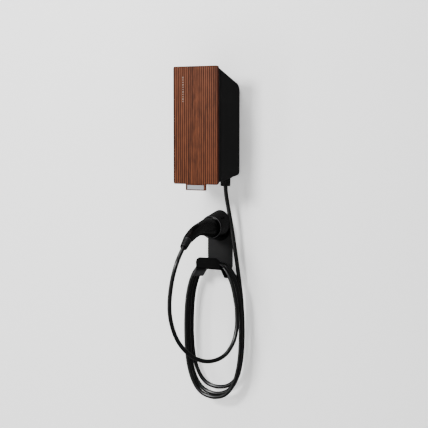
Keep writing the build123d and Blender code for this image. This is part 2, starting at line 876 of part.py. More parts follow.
with BuildPart() as holder_bracket:
    with BuildSketch(side_plane(holder_x + saddle_w / 2)):
        with BuildLine():
            FilletPolyline(
                (0, plate_top_mid),
                (0, saddle_back_z),
                (saddle_front, saddle_front_z),
                lip_end,
                radius=bend_outer,
            )
            offset(amount=sheet_t, side=Side.LEFT)
        make_face()
    extrude(amount=saddle_w)
    with BuildSketch(wall_plane(0)):
        with Locations((holder_x, (plate_top_mid + plate_low) / 2)):
            Rectangle(holder_plate_w, plate_top_mid - plate_low)
        with Locations((holder_x, plate_top_mid)):
            Circle(holder_plate_w / 2)
    extrude(amount=sheet_t)
    with BuildSketch(arm_plane):
        with BuildLine():
            FilletPolyline(
                (-saddle_w / 2 - arm_out, -arm_drop),
                (-saddle_w / 2, 0),
                (saddle_w / 2, 0),
                (saddle_w / 2 + arm_out, -arm_drop),
                radius=bend_r,
            )
            offset(amount=sheet_t, side=Side.LEFT)
        make_face()
    extrude(amount=saddle_length - arm_start - bend_outer)
    sheet_edges = holder_bracket.edges().filter_by(lambda e: abs(e.length - sheet_t) < 0.01)
    fillet(sheet_edges.sort_by(Axis.Y)[:2], lip_corner_r)
    with BuildSketch(wall_plane(0)):
        with Locations((holder_x, dock_z)):
            with GridLocations(0, holder_hole_dz, 1, 2):
                Circle(holder_hole_r)
            with GridLocations(dock_screw_dx, dock_screw_dz, 2, 2):
                Circle(dock_screw_r + clearance)
    extrude(amount=sheet_t, mode=Mode.SUBTRACT)
save(holder_bracket, "holder_bracket")

# Dock: a cup that changes from an oval foot to a round rim, with a collar for the plug

dock_rim = sheet_t + dock_depth


def dock_section(depth, inset=0.0):
    """Oval section of the dock at a depth from the wall."""
    share = (depth - sheet_t) / dock_depth
    half_w = dock_base_w / 2 + (dock_rim_r - dock_base_w / 2) * share - inset
    half_h = dock_base_h / 2 + (dock_rim_r - dock_base_h / 2) * share - inset
    with BuildSketch(wall_plane(depth, holder_x, dock_z)) as section:
        Ellipse(half_w, half_h)
    return section.sketch


def plug_section(depth, radius, flat):
    """Round section with a flat top, which the nose of the plug has."""
    with BuildSketch(wall_plane(depth, holder_x, dock_z)) as section:
        Circle(radius)
        with Locations((0, (flat - radius) / 2)):
            Rectangle(2 * radius, radius + flat, mode=Mode.INTERSECT)
    return section.sketch


dock_floor = sheet_t + dock_base_t
collar_near = collar_at
collar_far = collar_at + collar_w

with BuildPart() as dock_cup:
    loft(sections=[dock_section(sheet_t), dock_section(dock_rim)])
    inner = [dock_section(dock_floor, dock_wall), dock_section(collar_near, dock_wall)]
    loft(sections=inner, mode=Mode.SUBTRACT)
    outer = [dock_section(collar_far, dock_wall), dock_section(dock_rim, dock_wall)]
    loft(sections=outer, mode=Mode.SUBTRACT)
    extrude(
        plug_section(collar_near, shroud_r + plug_gap, shroud_flat + plug_gap),
        amount=collar_w,
        mode=Mode.SUBTRACT,
    )
    chamfer(dock_cup.faces().sort_by(Axis.Y)[0].edges(), rim_chamfer)
    with BuildSketch(wall_plane(dock_slot_at, holder_x, dock_z)):
        with PolarLocations(dock_rim_r + 3, 4, start_angle=45):
            Rectangle(6 * dock_wall, dock_slot_w)
    extrude(amount=dock_slot_length, mode=Mode.SUBTRACT)
    with BuildSketch(wall_plane(dock_rim, holder_x, dock_z)):
        with PolarLocations(dock_rim_r, 2, start_angle=225, angular_range=180):
            Rectangle(4 * dock_wall, rim_notch_w)
    extrude(amount=-rim_notch_h, mode=Mode.SUBTRACT)
    with BuildSketch(wall_plane(sheet_t, holder_x, dock_z)):
        with GridLocations(dock_screw_dx, dock_screw_dz, 2, 2):
            Circle(dock_screw_r + clearance)
    extrude(amount=dock_base_t, mode=Mode.SUBTRACT)
    with BuildSketch(wall_plane(sheet_t, holder_x, dock_z)):
        with GridLocations(0, holder_hole_dz, 1, 2):
            Circle(holder_hole_r + dock_screw_access)
    extrude(amount=dock_base_t - 1, mode=Mode.SUBTRACT)
save(dock_cup, "dock_cup")

with BuildPart() as dock_screws:
    with BuildSketch(wall_plane(dock_floor, holder_x, dock_z)):
        with GridLocations(dock_screw_dx, dock_screw_dz, 2, 2):
            Circle(dock_screw_head_r)
    extrude(amount=dock_screw_head_h)
    with BuildSketch(wall_plane(dock_floor, holder_x, dock_z)):
        with GridLocations(dock_screw_dx, dock_screw_dz, 2, 2):
            Circle(dock_screw_r)
    extrude(amount=-(dock_floor - clearance))
save(dock_screws, "dock_screws")

# Plug nose: a shroud around a contact carrier with seven contacts

shroud_front = shroud_back - shroud_length
insert_front = shroud_front + insert_setback
power_spots = [(-contact_ring, 0), (0, 0), (contact_ring, 0)]
power_spots += [(-contact_ring / 2, -contact_row), (contact_ring / 2, -contact_row)]
signal_spots = [(-contact_ring / 2.6, contact_row * 0.8), (contact_ring / 2.6, contact_row * 0.8)]

with BuildPart() as plug_shroud:
    extrude(plug_section(shroud_front, shroud_r, shroud_flat), amount=shroud_length)
    extrude(
        plug_section(shroud_front, shroud_r - shroud_t, shroud_flat - shroud_t),
        amount=shroud_length,
        mode=Mode.SUBTRACT,
    )
    chamfer(plug_shroud.faces().sort_by(Axis.Y)[-1].edges(), 0.6)
save(plug_shroud, "plug_shroud")

with BuildPart() as plug_insert:
    extrude(plug_section(insert_front, insert_r, insert_flat), amount=shroud_back - insert_front)
    with BuildSketch(wall_plane(insert_front, holder_x, dock_z)):
        with Locations(*power_spots):
            Circle(contact_r + clearance)
        with Locations(*signal_spots):
            Circle(signal_r + clearance)
    extrude(amount=contact_depth, mode=Mode.SUBTRACT)
save(plug_insert, "plug_insert")

with BuildPart() as plug_contacts:
    with BuildSketch(wall_plane(insert_front + contact_setback, holder_x, dock_z)):
        with Locations(*power_spots):
            Circle(contact_r)
            Circle(contact_r - contact_wall, mode=Mode.SUBTRACT)
        with Locations(*signal_spots):
            Circle(signal_r)
            Circle(signal_r - contact_wall, mode=Mode.SUBTRACT)
    extrude(amount=contact_depth - contact_setback)
save(plug_contacts, "plug_contacts")

# Plug handle: a smooth loft that rises a little, then bends down towards the cable

boot_plane = tilted_plane(handle_start + handle_length, dock_z - handle_drop, boot_angle)

with BuildPart() as plug_handle:
    for along, rise, angle, half_w, half_h in handle_sections:
        with BuildSketch(tilted_plane(handle_start + along, dock_z + rise, angle)):
            Ellipse(half_w, half_h)
    with BuildSketch(boot_plane):
        Ellipse(boot_start_r, boot_start_r)
    loft()
    extrude(
        plug_section(shroud_back, shroud_r, shroud_flat),
        amount=handle_start - shroud_back + handle_neck,
    )
save(plug_handle, "plug_handle")

# Boot at the end of the handle, with ring grooves that let it bend

boot_dir = boot_plane.z_dir
boot_start = boot_plane.origin
boot_end = boot_start + boot_dir * boot_length

with BuildPart() as plug_boot:
    with BuildSketch(Plane(origin=boot_start, x_dir=boot_dir, z_dir=(-1, 0, 0))):
        with BuildLine():
            Polyline(
                (0, 0),
                (boot_length, 0),
                (boot_length, boot_end_r),
                (0, boot_start_r),
                close=True,
            )
        make_face()
        for ring in range(boot_grooves):
            along = boot_first_groove + boot_groove_pitch * ring
            radius = boot_start_r + (boot_end_r - boot_start_r) * along / boot_length
            with Locations((along, radius)):
                Rectangle(boot_groove_w, 2 * boot_groove, mode=Mode.SUBTRACT)
    revolve(axis=Axis(boot_start, boot_dir))
    fillet(plug_boot.faces().sort_by(Axis.Y)[0].edges(), boot_end_round)
save(plug_boot, "plug_boot")

# Cable: two tubes and the coil between them


def route_radii(points):
    """Radius at each corner of a route, as large as its two runs allow."""
    radii = []
    for before, corner, after in zip(points, points[1:], points[2:]):
        arriving = Vector(*corner) - Vector(*before)
        leaving = Vector(*after) - Vector(*corner)
        run = min(arriving.length, leaving.length)
        half_turn = radians(arriving.get_angle(leaving)) / 2
        radii.append(0.45 * run / tan(half_turn))
    return radii


def route_line(points):
    """Straight runs joined by tangent arcs."""
    with BuildLine() as path:
        FilletPolyline(*points, radius=route_radii(points))
    return path.wires()[0]


def cable_tube(path):
    """Round cable along a path."""
    with BuildPart() as tube:
        with BuildSketch(Plane(origin=path @ 0, z_dir=path % 0)):
            Circle(cable_d / 2)
        sweep(path=path)
    return tube.part


lead_far_x = holder_x + lead_side
lead_reach = lead_far_x - gland_x

lead_route = [
    (gland_x, -gland_from_wall, nut_bottom + 9),
    (gland_x, -gland_from_wall, nut_bottom - 9),
    (gland_x + 0.10 * lead_reach, 1 - gland_from_wall, nut_bottom - 46),
    (gland_x + 0.35 * lead_reach, -42.5, -292),
    (gland_x + 0.66 * lead_reach, -36, -404),
    (gland_x + 0.90 * lead_reach, -29.5, -502),
    (lead_far_x, -26, -560),
]
lead_path = route_line(lead_route)
with BuildPart() as cable_lead:
    add(cable_tube(lead_path))
save(cable_lead, "cable_lead")

loop_route = [
    tuple(boot_end),
    tuple(boot_end + boot_dir * 29),
    (1, -303, -390),
    (-9, -309, -434),
    (-18.5, -308, -505),
    (-17, -295, -566),
    (-5, -269, -625),
    (17, -231, -677),
    (48, -180, -702),
    (79, -128, -693),
    (97, -97, -652),
    (100, -82, -606),
    (98, -78, -572),
]
loop_path = route_line(loop_route)
with BuildPart() as cable_front_loop:
    add(cable_tube(loop_path))
save(cable_front_loop, "cable_front_loop")

for name, route, path in (("lead", lead_route, lead_path), ("loop", loop_route, loop_path)):
    runs = [(Vector(*b) - Vector(*a)).length for a, b in zip(route, route[1:])]
    print(name, "length", round(path.length), "runs", [round(run) for run in runs])
    print(name, "radii", [round(radius) for radius in route_radii(route)])

# Coil: the outer shape of three turns that hang over the saddle

def coil_outline(top, top_half, shoulders, half_w, low):
    """Outline of a hanging loop: a flat top, slack sides and half an ellipse below."""
    side_points = [(top_half, top - coil_widest_z)]
    side_points += [(x, z - coil_widest_z) for x, z in shoulders]
    side_points += [(half_w, 0)]
    with BuildSketch(wall_plane(coil_back, holder_x, coil_widest_z)) as outline:
        with BuildLine():
            side = Spline(*side_points, tangents=[(1, -0.2), (0, -1)])
            Line(side @ 0, (0, top - coil_widest_z))
            Line((0, top - coil_widest_z), (0, 0))
            Line((0, 0), side @ 1)
        make_face()
        mirror(about=Plane.YZ)
        Ellipse(half_w, coil_widest_z - low)
    return outline.sketch


coil_depth = coil_front - coil_back
coil_hole_top = saddle_front_z + sheet_t + 0.3
coil_hole_half_w = coil_half_w - coil_strand

with BuildPart() as cable_coil:
    extrude(
        coil_outline(coil_top, saddle_w / 2 - 2, coil_shoulders, coil_half_w, coil_bottom),
        amount=coil_depth,
    )
    rims = cable_coil.faces().filter_by(Axis.Y).edges()
    fillet(rims, coil_edge_r)
    extrude(
        coil_outline(
            coil_hole_top,
            saddle_w / 2,
            coil_hole_shoulders,
            coil_hole_half_w,
            coil_hole_bottom,
        ),
        amount=coil_depth,
        mode=Mode.SUBTRACT,
    )
save(cable_coil, "cable_coil")
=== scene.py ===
from math import cos, pi, radians, sin, tan

import bmesh
import bpy
from mathutils import Matrix, Vector


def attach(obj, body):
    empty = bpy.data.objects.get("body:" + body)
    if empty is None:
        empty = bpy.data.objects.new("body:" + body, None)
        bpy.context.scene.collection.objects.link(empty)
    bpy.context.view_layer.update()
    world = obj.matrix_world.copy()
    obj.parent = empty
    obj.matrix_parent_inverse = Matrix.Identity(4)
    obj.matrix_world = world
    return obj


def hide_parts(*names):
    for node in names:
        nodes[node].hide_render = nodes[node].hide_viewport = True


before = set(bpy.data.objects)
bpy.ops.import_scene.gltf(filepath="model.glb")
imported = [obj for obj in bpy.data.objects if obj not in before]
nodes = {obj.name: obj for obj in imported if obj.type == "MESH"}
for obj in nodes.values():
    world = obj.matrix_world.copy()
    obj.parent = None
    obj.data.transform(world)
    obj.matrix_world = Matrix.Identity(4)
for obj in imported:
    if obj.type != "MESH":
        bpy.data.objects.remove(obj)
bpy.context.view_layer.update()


def add_object(name, data):
    """New object of the scene with this data."""
    made = bpy.data.objects.new(name, data)
    bpy.context.scene.collection.objects.link(made)
    return made


# Camera: turned 25 degrees to the left and a little down, as the photograph was taken

PHOTO_WIDTH = 428
FOCAL_PX = 951.1
CENTRE_ROW_PX = 192
LOOK_DOWN = 3.863
LOOK_LEFT = 25.016
SENSOR_MM = 36

camera_data = bpy.data.cameras.new("camera")
camera = add_object("camera", camera_data)
camera.location = (1.26962, -2.75799, 0.00937)
camera.rotation_euler = (radians(90 - LOOK_DOWN), 0, radians(LOOK_LEFT))
camera_data.sensor_width = SENSOR_MM
camera_data.lens = SENSOR_MM * FOCAL_PX / PHOTO_WIDTH
camera_data.shift_y = (CENTRE_ROW_PX - PHOTO_WIDTH / 2) / PHOTO_WIDTH
camera_data.clip_start = 0.05
camera_data.clip_end = 200
bpy.context.scene.camera = camera

# Charging cable: one line from the gland, three times round over the saddle, back to the plug

CABLE_D = 0.013
HOLDER_X = 0.0053
GLAND_END = (0.0455, -0.050, -0.1637)
BOOT_SLOPE = radians(37)
BOOT_DIR = Vector((0, -cos(BOOT_SLOPE), -sin(BOOT_SLOPE)))
BOOT_LENGTH = 0.033
BOOT_START = Vector((HOLDER_X, -0.236, -0.3245))
BOOT_END = BOOT_START + BOOT_DIR * BOOT_LENGTH
RUN_TO_BOOT = 0.029

lead_points = [
    GLAND_END,
    (0.0455, -0.050, -0.1817),
    (0.0503, -0.049, -0.2187),
    (0.0624, -0.0425, -0.292),
    (0.0774, -0.036, -0.404),
    (0.0890, -0.0295, -0.502),
    (0.0938, -0.026, -0.560),
]
loop_points = [
    (0.0965, -0.0778, -0.545),
    (0.098, -0.078, -0.572),
    (0.100, -0.082, -0.6065),
    (0.097, -0.097, -0.6525),
    (0.079, -0.128, -0.6943),
    (0.048, -0.180, -0.7042),
    (0.0164, -0.231, -0.6805),
    (-0.0090, -0.269, -0.6325),
    (-0.0193, -0.295, -0.5735),
    (-0.0203, -0.308, -0.5124),
    (-0.0103, -0.309, -0.4395),
    (0.001, -0.303, -0.3915),
    tuple(BOOT_END + BOOT_DIR * RUN_TO_BOOT),
    tuple(BOOT_END),
]

# Turns of the coil, the back one first: half width at the right and left, reach below the middle
TURNS = [(0.0975, 0.091, 0.1915), (0.098, 0.0938, 0.209), (0.0985, 0.0945, 0.216)]
LAST_RIGHT = 0.094
COIL_MID_Z = -0.632
COIL_TOP = 0.2205
LOW_FULLNESS = 2.5
HIGH_FULLNESS = 2.6
TURN_STEPS = 20
STEPS_IN_LEAD = 2

# A strand moves forward by one step over the saddle, in this share of its turn
STRAND_STEP = 0.018
FORWARD_FROM = 0.62
FORWARD_SHARE = 0.26
BACK_STRAND_Y = -0.024
FRONT_STRAND_Y = -0.078
SADDLE_TILT = tan(radians(8.5))


def turn_point(angle, right, left, low, high, y):
    """Point of a turn: 0 is at the right, a quarter is the bottom, three quarters the top."""
    across, up = cos(angle), -sin(angle)
    power = 2 / (LOW_FULLNESS if up < 0 else HIGH_FULLNESS)
    half = right if across > 0 else left
    height = low if up < 0 else high
    x = HOLDER_X + half * abs(across) ** power * (1 if across > 0 else -1)
    z = COIL_MID_Z + height * abs(up) ** power * (1 if up > 0 else -1)
    return (x, y, z)


def coil_turns():
    """Three turns, from the back one to the front one, each moving forward over the saddle."""
    points = []
    for turn, (right, left, low) in enumerate(TURNS):
        next_right = TURNS[turn + 1][0] if turn + 1 < len(TURNS) else LAST_RIGHT
        for step in range(TURN_STEPS):
            share = step / TURN_STEPS
            forward = min(1, max(0, (share - FORWARD_FROM) / FORWARD_SHARE))
            y = BACK_STRAND_Y - STRAND_STEP * turn - STRAND_STEP * forward
            high = COIL_TOP - SADDLE_TILT * (y - FRONT_STRAND_Y)
            side = right if share < 0.5 else next_right
            points.append(turn_point(2 * pi * share, side, left, low, high, y))
    return points


def spline_curve(name, points, thickness):
    """Curve object with one smooth NURBS spline."""
    data = bpy.data.curves.new(name, "CURVE")
    data.dimensions = "3D"
    data.bevel_depth = 1
    data.bevel_resolution = 6
    data.resolution_u = 8
    data.use_fill_caps = True
    spline = data.splines.new("NURBS")
    spline.points.add(len(points) - 1)
    for slot, point in zip(spline.points, points):
        slot.co = (*point, 1)
        slot.radius = thickness / 2
    spline.order_u = 3
    spline.use_endpoint_u = True
    return add_object(name, data)


def line_length(piece):
    """Length of a curve's own line."""
    data = piece.data.copy()
    data.bevel_depth = 0
    data.use_fill_caps = False
    copy = bpy.data.objects.new("line", data)
    mesh = bpy.data.meshes.new_from_object(copy)
    spots = [v.co.copy() for v in mesh.vertices]
    bpy.data.objects.remove(copy)
    bpy.data.curves.remove(data)
    bpy.data.meshes.remove(mesh)
    return sum((b - a).length for a, b in zip(spots, spots[1:]))


cable_points = lead_points + coil_turns()[STEPS_IN_LEAD:] + loop_points
cable = spline_curve("charging_cable", cable_points, CABLE_D)
cable_length = line_length(cable)

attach(cable, "wallbox")
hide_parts("cable_lead", "cable_coil", "cable_front_loop")


# Materials: sums on sockets are written as Python expressions

class Wire:
    """A socket of a material, which takes part in sums by adding Math nodes."""

    def __init__(self, finish, socket):
        self.finish = finish
        self.socket = socket

    def maths(self, operation, first, second=0.0):
        return self.finish.node("ShaderNodeMath", {"operation": operation}, {0: first, 1: second})

    def __add__(self, other):
        return self.maths("ADD", self, other)

    def __radd__(self, other):
        return self.maths("ADD", other, self)

    def __sub__(self, other):
        return self.maths("SUBTRACT", self, other)

    def __rsub__(self, other):
        return self.maths("SUBTRACT", other, self)

    def __mul__(self, other):
        return self.maths("MULTIPLY", self, other)

    def __rmul__(self, other):
        return self.maths("MULTIPLY", other, self)

    def sine(self):
        return self.maths("SINE", self)


class Finish:
    """A material with its Principled shader, and the ways to add nodes to it."""

    def __init__(self, name, color, roughness, metallic=0.0, specular=0.5):
        self.material = bpy.data.materials.new(name)
        self.material.use_nodes = True
        self.tree = self.material.node_tree
        self.shader = self.tree.nodes["Principled BSDF"]
        self.material.diffuse_color = shade(color)
        self.set("Base Color", shade(color))
        self.set("Roughness", roughness)
        self.set("Metallic", metallic)
        self.set("Specular IOR Level", specular)

    def set(self, name, value):
        """Gives a socket of the shader a value or a link."""
        self.join(self.shader.inputs[name], value)

    def join(self, socket, value):
        """Gives a socket a value or a link."""
        if isinstance(value, Wire):
            self.tree.links.new(value.socket, socket)
        else:
            socket.default_value = value

    def node(self, kind, settings, sockets, output=0):
        """Adds a node: its settings first, then the values or links of its sockets."""
        made = self.tree.nodes.new(kind)
        for key, value in settings.items():
            if key == "stops":
                set_stops(made.color_ramp, value)
            else:
                setattr(made, key, value)
        for key, value in sockets.items():
            self.join(made.inputs[key], value)
        return Wire(self, made.outputs[output])

    def place(self, scale=(1, 1, 1)):
        """Object coordinates, scaled."""
        spot = self.node("ShaderNodeTexCoord", {}, {}, "Object")
        return self.node("ShaderNodeMapping", {}, {"Vector": spot, "Scale": scale})

    def part(self, vector, axis):
        """One number of a vector."""
        return self.node("ShaderNodeSeparateXYZ", {}, {0: vector}, axis)

    def noise(self, vector, scale, detail=2.0, rough=0.5):
        """Noise of one scale all ways."""
        sockets = {"Vector": vector, "Scale": scale, "Detail": detail, "Roughness": rough}
        return self.node("ShaderNodeTexNoise", {}, sockets)

    def drawn_noise(self, scale, detail=2.0, rough=0.5):
        """Noise with its own scale along each axis."""
        return self.noise(self.place(scale), 1.0, detail, rough)

    def ramp(self, factor, stops):
        return self.node("ShaderNodeValToRGB", {"stops": stops}, {0: factor})

    def mix(self, factor, first, second):
        """Mix of two colours, each a link or a colour with its alpha."""
        sockets = {0: factor, 6: first, 7: second}
        return self.node("ShaderNodeMix", {"data_type": "RGBA"}, sockets, 2)

    def bump(self, height, strength, distance):
        sockets = {"Height": height, "Strength": strength, "Distance": distance}
        self.set("Normal", self.node("ShaderNodeBump", {}, sockets))


def shade(color, factor=1.0):
    """Colour with its alpha, darker or lighter by a factor."""
    return (*[c * factor for c in color], 1)


def set_stops(ramp, stops):
    """Gives a colour ramp its stops, each a place and a colour or a grey."""
    while len(ramp.elements) < len(stops):
        ramp.elements.new(0.5)
    for element, (place, color) in zip(ramp.elements, stops):
        element.position = place
        rgb = color if isinstance(color, tuple) else (color, color, color)
        element.color = shade(rgb)


def moulded(name, color, roughness, grain=900.0, depth=0.12, specular=0.5):
    """Moulded plastic: even colour with a fine spark-eroded texture."""
    finish = Finish(name, color, roughness, specular=specular)
    spot = finish.place()
    fine = finish.noise(spot, grain, 3.0)
    broad = finish.noise(spot, 14.0)
    finish.set("Roughness", roughness - 0.06 + 0.08 * broad + 0.05 * fine)
    finish.set("Base Color", finish.mix(broad, shade(color, 0.86), shade(color, 1.14)))
    finish.bump(fine, strength=depth, distance=0.0002)
    return finish.material


def rubber(name, color, roughness):
    """Soft matt surface with faint dust in its tone."""
    finish = Finish(name, color, roughness, specular=0.35)
    spot = finish.place()
    dust = finish.noise(spot, 60.0, 4.0, 0.6)
    finish.set("Base Color", finish.mix(dust, shade(color), shade(color, 1.7)))
    finish.set("Roughness", roughness + 0.12 * dust)
    finish.bump(finish.noise(spot, 1500.0), strength=0.1, distance=0.0002)
    return finish.material


def plated(name, color, roughness):
    """Zinc plated or stamped metal with a faint cloudy tone."""
    finish = Finish(name, color, roughness, metallic=1.0)
    cloud = finish.noise(finish.place(), 90.0, 3.0, 0.6)
    finish.set("Base Color", finish.mix(cloud, shade(color, 0.8), shade(color)))
    finish.set("Roughness", roughness - 0.08 + 0.16 * cloud)
    finish.bump(cloud, strength=0.08, distance=0.0003)
    return finish.material


# Ramps that follow a place on a piece count in decimetres, to stay between 0 and 1
DECIMETRES = 10.0

# Dark lines of the veneer: their spacing, how far they sway, and one line of each side
LINE_STEP = 0.00682
LINE_SWAY = 0.0022
LEFT_LINE = -0.0365
RIGHT_LINE = 0.0414
EDGE_SHARPNESS = 400.0


def make_walnut(name, half_w, low, high, rim):
    """Dark oiled walnut veneer on a board: dark straight lines, softer in the middle."""
    finish = Finish(name, (0.07, 0.019, 0.0065), 0.55, specular=0.1)
    spot = finish.place()
    across = finish.part(spot, "X")
    along = finish.part(spot, "Z")
    reach = across.maths("ABSOLUTE", across)
    sway = finish.drawn_noise((22.0, 1.0, 9.0), 3.0) - 0.5
    right_side = across.maths("GREATER_THAN", across, 0.0)
    first_line = LEFT_LINE + (RIGHT_LINE - LEFT_LINE) * right_side
    from_line = across + LINE_SWAY * sway - first_line
    phase = from_line * (2 * pi / LINE_STEP) - pi / 2
    outer = finish.ramp(reach * DECIMETRES, [(0.08, 0.15), (0.26, 1.0)])
    depth = finish.drawn_noise((150.0, 1.0, 13.0))
    lines = phase.sine() * outer * (2.4 * depth - 0.4)
    figure = finish.drawn_noise((130.0, 1.0, 26.0), 3.0, 0.55) - 0.5
    streaks = finish.drawn_noise((420.0, 1.0, 5.0), 3.0, 0.6) - 0.5
    pores = finish.drawn_noise((1100.0, 30.0, 34.0))
    stripe = finish.drawn_noise((75.0, 1.0, 1.6))
    dark_stripe = finish.ramp(stripe, [(0.34, 0.32), (0.46, 0.0)])
    tone = 0.54 + 0.66 * lines + figure * (1.2 - 0.6 * outer) + 0.6 * streaks - dark_stripe
    wood = finish.ramp(
        tone,
        [
            (0.00, (0.013, 0.0032, 0.0010)),
            (0.32, (0.041, 0.0104, 0.0034)),
            (0.62, (0.086, 0.0228, 0.0074)),
            (1.00, (0.142, 0.0400, 0.0145)),
        ],
    )
    pore_mask = finish.ramp(pores, [(0.33, 0.5), (0.43, 0.0)])
    porous = finish.mix(pore_mask, wood, (0.018, 0.005, 0.002, 1))
    beyond = across.maths("MAXIMUM", along - high, low - along)
    outside = across.maths("MAXIMUM", beyond, reach - half_w) * EDGE_SHARPNESS + 0.5
    edge_mask = finish.ramp(outside, [(0.1, 0.0), (0.9, 1.0)])
    finish.set("Base Color", finish.mix(edge_mask, porous, shade(rim)))
    finish.set("Roughness", 0.62 - 0.16 * tone)
    finish.bump(tone * 0.7 - pore_mask * 0.6, strength=0.3, distance=0.0004)
    return finish.material


def make_cable_jacket():
    """Black cable jacket: smooth rubber with a faint bloom."""
    finish = Finish("cable jacket", (0.0016, 0.0016, 0.0017), 0.30, specular=0.55)
    spot = finish.place()
    bloom = finish.noise(spot, 45.0, 3.0, 0.6)
    jacket = finish.mix(bloom, (0.0012, 0.0012, 0.0013, 1), (0.0020, 0.0020, 0.0021, 1))
    finish.set("Base Color", jacket)
    finish.set("Roughness", 0.28 + 0.05 * bloom)
    finish.bump(finish.noise(spot, 900.0), strength=0.08, distance=0.0002)
    return finish.material


def make_powder_coat():
    """Black powder coat with a fine orange peel: darkest at the lip, and palest at the left edge,
    where a painted reflection lightens the left arm.
    """
    finish = Finish("powder coat", (0.006, 0.006, 0.0062), 0.5, specular=0.09)
    spot = finish.place()
    forward = finish.part(spot, "Y") * -DECIMETRES
    leftward = (HOLDER_X - finish.part(spot, "X")) * DECIMETRES
    peel = finish.noise(spot, 420.0, 2.0, 0.4)
    broad = finish.noise(spot, 22.0)
    plate = finish.mix(broad, (0.0105, 0.0105, 0.0108, 1), (0.0140, 0.0140, 0.0144, 1))
    to_lip = finish.ramp(forward, [(0.10, 0.0), (0.80, 1.0)])
    coat = finish.mix(to_lip, plate, (0.0008, 0.0008, 0.0009, 1))
    # Paler grey on the left arm: a painted reflection
    painted_reflection_left_arm = finish.ramp(leftward, [(0.43, 0.0), (0.46, 1.0)])
    finish.set("Base Color", finish.mix(painted_reflection_left_arm, coat, (0.030, 0.030, 0.031, 1)))
    finish.set("Roughness", 0.50 + 0.10 * peel)
    finish.bump(peel, strength=0.2, distance=0.0003)
    return finish.material


def make_brushed_plate():
    """Bare satin aluminium, brushed along its length."""
    finish = Finish("brushed plate", (0.50, 0.51, 0.53), 0.36, metallic=1.0)
    brush = finish.drawn_noise((14.0, 300.0, 2600.0), 3.0, 0.6)
    finish.set("Base Color", finish.mix(brush, (0.23, 0.24, 0.26, 1), (0.36, 0.37, 0.39, 1)))
    finish.set("Roughness", 0.30 + 0.16 * brush)
    finish.bump(brush, strength=0.12, distance=0.0002)
    return finish.material


# Pale rings painted on the boot as highlights: where the first one lies and their spacing
BOOT_HIGHLIGHTS_AT = 0.0124
BOOT_HIGHLIGHT_STEP = 0.0056


def make_boot_rubber():
    """Soft rubber of the boot, with pale rings painted along it as highlights."""
    finish = Finish("boot rubber", (0.003, 0.003, 0.003), 0.42, specular=0.25)
    spot = finish.place()
    back = (finish.part(spot, "Y") - BOOT_START.y) * BOOT_DIR.y
    along = back + (finish.part(spot, "Z") - BOOT_START.z) * BOOT_DIR.z
    # Painted highlights: pale rings along the boot
    wave = ((along - BOOT_HIGHLIGHTS_AT) * (2 * pi / BOOT_HIGHLIGHT_STEP)).sine() * 0.5 + 0.5
    painted_ring_highlights = finish.ramp(wave, [(0.66, 0.0), (0.92, 1.0)])
    dust = finish.noise(spot, 60.0, 4.0, 0.6)
    dark = finish.mix(dust, (0.0015, 0.0015, 0.0016, 1), (0.003, 0.003, 0.003, 1))
    finish.set("Base Color", finish.mix(painted_ring_highlights, dark, (0.020, 0.020, 0.021, 1)))
    finish.set("Roughness", 0.36 + 0.12 * dust)
    finish.bump(finish.noise(spot, 1500.0), strength=0.1, distance=0.0002)
    return finish.material


def make_circuit_board():
    """Green solder mask with faint copper tracks under it."""
    finish = Finish("circuit board", (0.012, 0.11, 0.045), 0.35)
    sockets = {"Vector": finish.place(), "Scale": 160.0}
    cells = finish.node("ShaderNodeTexVoronoi", {"distance": "MANHATTAN"}, sockets)
    tracks = finish.ramp(cells, [(0.40, 0.0), (0.46, 1.0)])
    finish.set("Base Color", finish.mix(tracks, (0.010, 0.10, 0.04, 1), (0.03, 0.21, 0.09, 1)))
    finish.bump(tracks, strength=0.15, distance=0.0003)
    return finish.material


walnut = make_walnut(
    "walnut", half_w=0.0726, low=-0.1604, high=0.1934, rim=(0.042, 0.0078, 0.0020)
)
tab_walnut = make_walnut(
    "tab walnut", half_w=0.0318, low=-0.1798, high=-0.1500, rim=(0.085, 0.0165, 0.0045)
)
cable_jacket = make_cable_jacket()
powder_coat = make_powder_coat()
brushed_plate = make_brushed_plate()
circuit_board = make_circuit_board()
boot_rubber = make_boot_rubber()
black_moulding = moulded("black moulding", (0.0042, 0.0041, 0.0043), 0.46, specular=0.2)
dock_moulding = moulded("dock moulding", (0.0010, 0.0010, 0.0011), 0.22, specular=0.2)
plug_moulding = moulded("plug moulding", (0.0010, 0.0010, 0.0011), 0.24, 700.0, specular=0.33)
black_nylon = moulded("black nylon", (0.004, 0.004, 0.0042), 0.38, 500.0, specular=0.3)
black_gloss = moulded("black gloss", (0.008, 0.008, 0.008), 0.22, 1200.0, depth=0.03)
light_grey = moulded("light grey plastic", (0.55, 0.56, 0.55), 0.42)
mid_grey = moulded("mid grey plastic", (0.25, 0.26, 0.27), 0.45)
white_nylon = moulded("white nylon", (0.72, 0.72, 0.68), 0.4)
blue_plastic = moulded("blue plastic", (0.03, 0.10, 0.32), 0.4)
yellow_plastic = moulded("yellow plastic", (0.72, 0.5, 0.03), 0.35)
pale_inlay = moulded("pale inlay", (0.25, 0.17, 0.13), 0.45)
black_rubber = rubber("black rubber", (0.006, 0.006, 0.006), 0.45)
# Pale grey of the lip in the dock's rim: a painted highlight
rim_highlight_paint = rubber("rim painted highlight", (0.026, 0.026, 0.027), 0.45)
beech = rubber("raw beech", (0.5, 0.34, 0.2), 0.7)
zinc = plated("zinc plate", (0.62, 0.62, 0.60), 0.38)
silver_contact = plated("silver contact", (0.82, 0.79, 0.70), 0.28)

